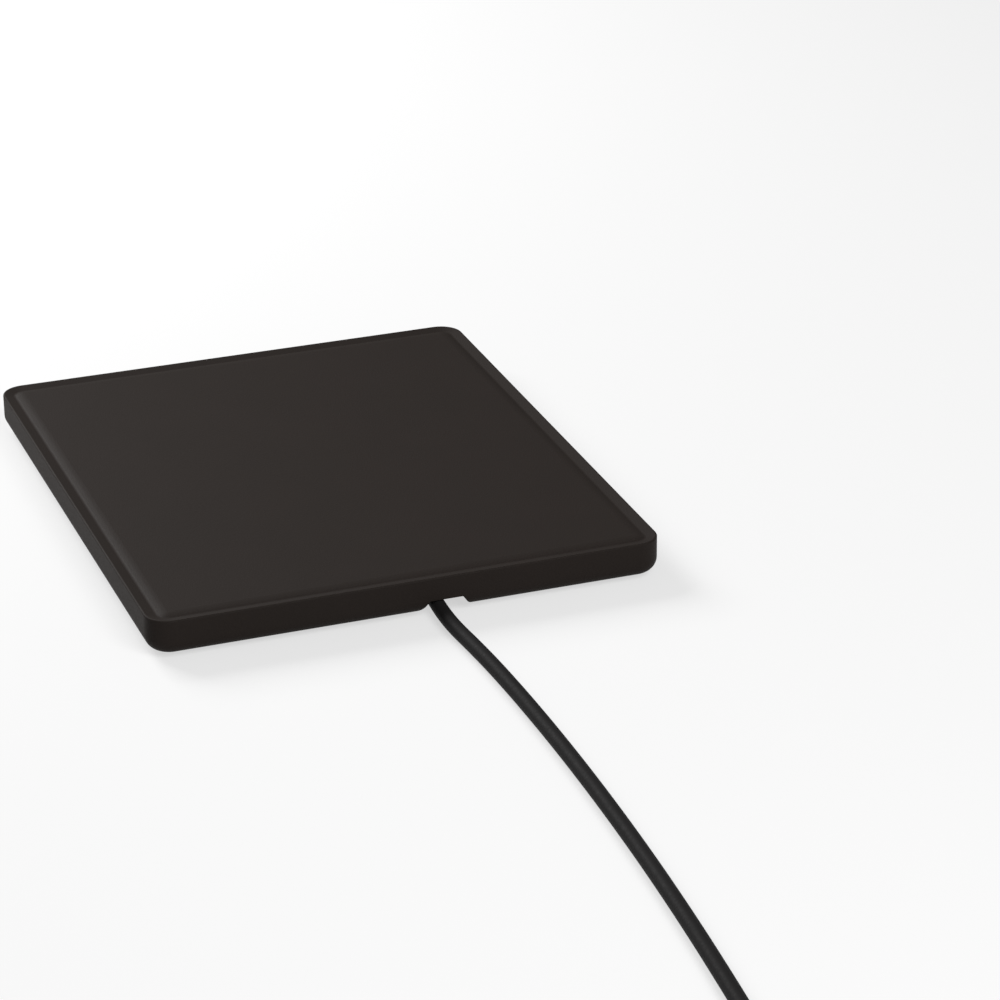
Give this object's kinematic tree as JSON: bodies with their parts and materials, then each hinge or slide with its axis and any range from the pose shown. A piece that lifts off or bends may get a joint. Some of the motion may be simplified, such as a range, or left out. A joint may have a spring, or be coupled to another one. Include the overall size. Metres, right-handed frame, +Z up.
{
  "type": "flat indoor tv antenna",
  "caption": "Flat table-top television antenna: round-edged moulded panel over stamped elements and a balun, with a coiled coaxial lead and threaded connector.",
  "frame": {"origin": "on the table under the middle of the panel, at the level of the rubber feet", "axes": "+Z up, +Y towards the panel's back edge along its longer side, and the lead leaves the panel towards -Y"},
  "size_m": [0.2545, 0.7874, 0.0204],
  "materials": {
    "case_plastic": "fine satin moulded texture, warm black",
    "foot_rubber": "matt black",
    "zinc_steel": "zinc plated",
    "tinned_sheet": "tinned, rolled",
    "circuit_board": "green solder mask",
    "ferrite": "pressed and sintered, grey",
    "enamelled_copper": "varnished copper wire",
    "chip_ceramic": "fired ceramic, tan",
    "cord_jacket": "smooth black vinyl",
    "white_insulation": "white polyethylene",
    "bare_copper": "drawn copper",
    "tie_strap": "woven black strap",
    "plated_brass": "bright nickel plate"
  },
  "bodies": {
    "antenna": {"top_cover": "case_plastic", "bottom_cover": "case_plastic", "rubber_feet": "foot_rubber", "case_screws": "zinc_steel", "uhf_element_left": "tinned_sheet", "uhf_element_right": "tinned_sheet", "vhf_element_left": "tinned_sheet", "vhf_element_right": "tinned_sheet", "balun_board": "circuit_board", "balun_core": "ferrite", "primary_winding": "enamelled_copper", "secondary_winding": "enamelled_copper", "matching_capacitors": "chip_ceramic", "element_screws": "zinc_steel", "clamp_screws": "zinc_steel", "cord_clamp": "case_plastic", "cord_grommet": "cord_jacket", "inner_lead": "cord_jacket", "coax_dielectric": "white_insulation", "coax_conductor": "bare_copper", "coax_braid": "tinned_sheet", "cord_lead": "cord_jacket", "cord_coil": "cord_jacket", "cord_tail": "cord_jacket", "cord_tie": "tie_strap", "connector_grip": "cord_jacket", "connector_body": "plated_brass", "connector_insulator": "white_insulation", "connector_pin": "bare_copper"},
    "coupling_nut": {"connector_nut": "plated_brass"}
  },
  "joints": [
    {"name": "nut_spin", "type": "hinge", "parent": "antenna", "child": "coupling_nut", "pos_m": [-0.12025, -0.6304, 0.007], "axis": [-1, 0, 0], "continuous": true}
  ]
}
